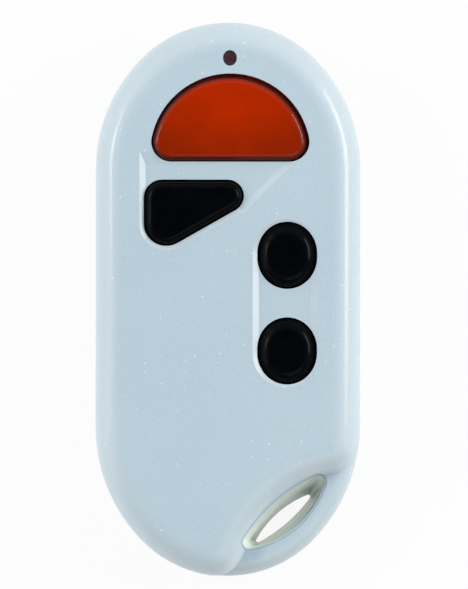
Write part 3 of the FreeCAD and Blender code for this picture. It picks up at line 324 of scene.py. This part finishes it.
def plain_plastic(name, dark, pale, rough):
    """A moulded plastic, resin or ceramic: mottled colour, uneven gloss and a fine grain."""
    material, tree, shader = surface(name, IOR=1.48)
    mottle = tree.spread(tree.noise(1400.0, detail=3.0))
    tree.feed(shader, "Base Color", tree.mix(mottle, linear(*dark), linear(*pale)))
    tree.feed(shader, "Roughness", tree.spread(tree.noise(2800.0), *rough))
    tree.feed(shader, "Normal", tree.bump(tree.noise(4200.0), 0.01 * MM))
    return material


def metal(name, dark, pale, rough, squeeze):
    """Drawn, plated or turned metal, with fine streaks."""
    material, tree, shader = surface(name, Metallic=1.0)
    squeezed = tree.combine("MULTIPLY", tree.place(), squeeze)
    streaks = tree.noise(6000.0, detail=3.0, roughness=0.6, vector=squeezed)
    tree.feed(shader, "Base Color", tree.mix(tree.spread(streaks), linear(*dark), linear(*pale)))
    tree.feed(shader, "Roughness", tree.spread(streaks, *rough))
    tree.feed(shader, "Normal", tree.bump(streaks, 0.004 * MM))
    return material


def board_resin():
    """Green solder mask over a weave, with a faint net of tracks."""
    material, tree, shader = surface("board_resin", IOR=1.5, Coat_Weight=0.4, Coat_Roughness=0.15)
    tracks = tree.add("ShaderNodeTexBrick", {"offset": 0.5}, Scale=420.0, Mortar_Size=0.03,
                      Color1=linear(4, 66, 38), Color2=linear(6, 74, 42), Mortar=linear(30, 112, 66),
                      Vector=tree.place())
    speck = tree.spread(tree.noise(2400.0, detail=3.0), 0.0, 0.35)
    tree.feed(shader, "Base Color", tree.mix(speck, tracks.outputs["Color"], linear(12, 92, 56)))
    tree.feed(shader, "Roughness", tree.spread(tree.noise(1700.0), 0.28, 0.42))
    tree.feed(shader, "Normal", tree.bump(tracks.outputs["Fac"], 0.02 * MM))
    return material


def finishes():
    """One finish for each material slot of the record."""
    made = {
        "pearl_paint": pearl_paint(),
        "red_plastic": red_plastic(),
        "black_plastic": black_plastic(),
        "window_plastic": window_plastic(),
        "board_resin": board_resin(),
    }
    made.update({name: plain_plastic(name, *looks) for name, looks in PLASTICS.items()})
    made.update({name: metal(name, *looks) for name, looks in METALS.items()})
    return made


def dress(slots):
    """Give each carried-over piece the finish that the record's slot names."""
    for subpart in frame["record"]["subparts"]:
        piece = frame["nodes"][subpart["node"]]
        piece.data.materials.clear()
        piece.data.materials.append(slots[subpart["material_slot"]])


def camera():
    """A long lens straight above the face, framed as the photograph is.

    The picture is taller than it is wide, so the sensor's size lies along its height.
    """
    pixel = (cad_high.y - cad_low.y) / (OUTLINE_BOTTOM - OUTLINE_TOP)
    aside = PHOTO_WIDTH / 2 - (OUTLINE_LEFT + OUTLINE_RIGHT) / 2
    above = (OUTLINE_TOP + OUTLINE_BOTTOM) / 2 - PHOTO_HEIGHT / 2
    data = bpy.data.cameras.new("camera")
    data.sensor_width = SENSOR_SIZE
    data.lens = SENSOR_SIZE * (CAMERA_HEIGHT - OUTLINE_HEIGHT) / (PHOTO_HEIGHT * pixel)
    data.clip_start = CLIP_START
    data.clip_end = CLIP_END
    item = bpy.data.objects.new("camera", data)
    item.location = (aside * pixel, above * pixel, CAMERA_HEIGHT)
    item.rotation_euler = (0.0, 0.0, PHOTO_ROLL)
    bpy.context.scene.collection.objects.link(item)
    bpy.context.scene.camera = item


def lamp(name, azimuth, elevation, width, height, radiance, tint=(1.0, 1.0, 1.0)):
    """A rectangular soft light that faces the remote. Azimuth runs in degrees from +X towards +Y."""
    data = bpy.data.lights.new(name, "AREA")
    data.shape = "RECTANGLE"
    data.size, data.size_y = width, height
    data.energy = radiance * math.pi * width * height
    data.color = tint
    item = bpy.data.objects.new(name, data)
    turn, rise = math.radians(azimuth), math.radians(elevation)
    away = Vector((math.cos(turn) * math.cos(rise), math.sin(turn) * math.cos(rise), math.sin(rise)))
    item.location = away * LAMP_DISTANCE
    item.rotation_mode = "QUATERNION"
    item.rotation_quaternion = away.to_track_quat("Z", "Y")
    item.visible_camera = False
    bpy.context.scene.collection.objects.link(item)


def lamps():
    """Soft lamps at both sides of the remote and beyond its bottom."""
    warm = (1.0, 0.985, 0.96)
    lamp("right_light", azimuth=17, elevation=29, width=0.36, height=0.16, radiance=10.6, tint=warm)
    lamp("left_light", azimuth=170, elevation=26, width=0.80, height=0.40, radiance=1.2)
    lamp("left_strip", azimuth=165, elevation=35, width=0.22, height=0.05, radiance=19.0)
    lamp("low_light", azimuth=-65, elevation=50, width=0.40, height=0.30, radiance=1.2)


def surround():
    """A world that is white up to the horizon, dimmer above it and towards the bottom, and dark overhead."""
    world = bpy.data.worlds.new("world")
    bpy.context.scene.world = world
    tree = Tree(world)
    _, along, upward = tree.split(tree.add("ShaderNodeTexCoord").outputs["Generated"])
    overhead = tree.ramp(upward, start=0.78, stop=0.98, first=0.70, last=0.02)
    towards_top = tree.ramp(along, start=-0.9, stop=0.6, first=0.41, last=1.12)
    horizon = tree.ramp(upward, start=0.07, stop=0.13, first=1.0, last=0.0)
    strength = tree.larger(horizon, tree.times(overhead, towards_top))
    sky = tree.add("ShaderNodeBackground", Color=(0.96, 0.98, 1.0, 1.0), Strength=strength)
    tree.add("ShaderNodeOutputWorld", Surface=sky.outputs[0])


def pale_stage(name, base, glow):
    """A pale cloth that shows nearly white to the camera and in reflections, and still takes a shadow."""
    material = bpy.data.materials.new(name)
    tree = Tree(material)
    rays = tree.add("ShaderNodeLightPath").outputs
    seen = tree.larger(rays["Is Camera Ray"], rays["Is Glossy Ray"])
    seen = tree.larger(seen, rays["Is Transmission Ray"])
    cloth = tree.mix(tree.spread(tree.noise(9.0)), grey(base), grey(0.98 * base))
    matt = tree.add("ShaderNodeBsdfDiffuse", Color=cloth)
    white = tree.add("ShaderNodeEmission", Color=grey(1.0), Strength=1.0)
    both = tree.add("ShaderNodeMixShader")
    tree.feed(both, "0", tree.times(seen, glow))
    tree.feed(both, "1", matt.outputs[0])
    tree.feed(both, "2", white.outputs[0])
    tree.add("ShaderNodeOutputMaterial", Surface=both.outputs[0])
    return material


def floor():
    """A wide round floor under the remote."""
    points, faces = [(0.0, 0.0, 0.0)], []
    for side in range(FLOOR_SIDES):
        turn = 2 * math.pi * side / FLOOR_SIDES
        points.append((FLOOR_RADIUS * math.cos(turn), FLOOR_RADIUS * math.sin(turn), 0.0))
        faces.append((0, 1 + side, 1 + (side + 1) % FLOOR_SIDES))
    mesh = bpy.data.meshes.new("floor")
    mesh.from_pydata(points, [], faces)
    mesh.materials.append(pale_stage("floor_cloth", base=0.9, glow=0.92))
    item = bpy.data.objects.new("floor", mesh)
    bpy.context.scene.collection.objects.link(item)


dress(finishes())
camera()
lamps()
surround()
floor()
bpy.context.scene.view_settings.view_transform = "Standard"
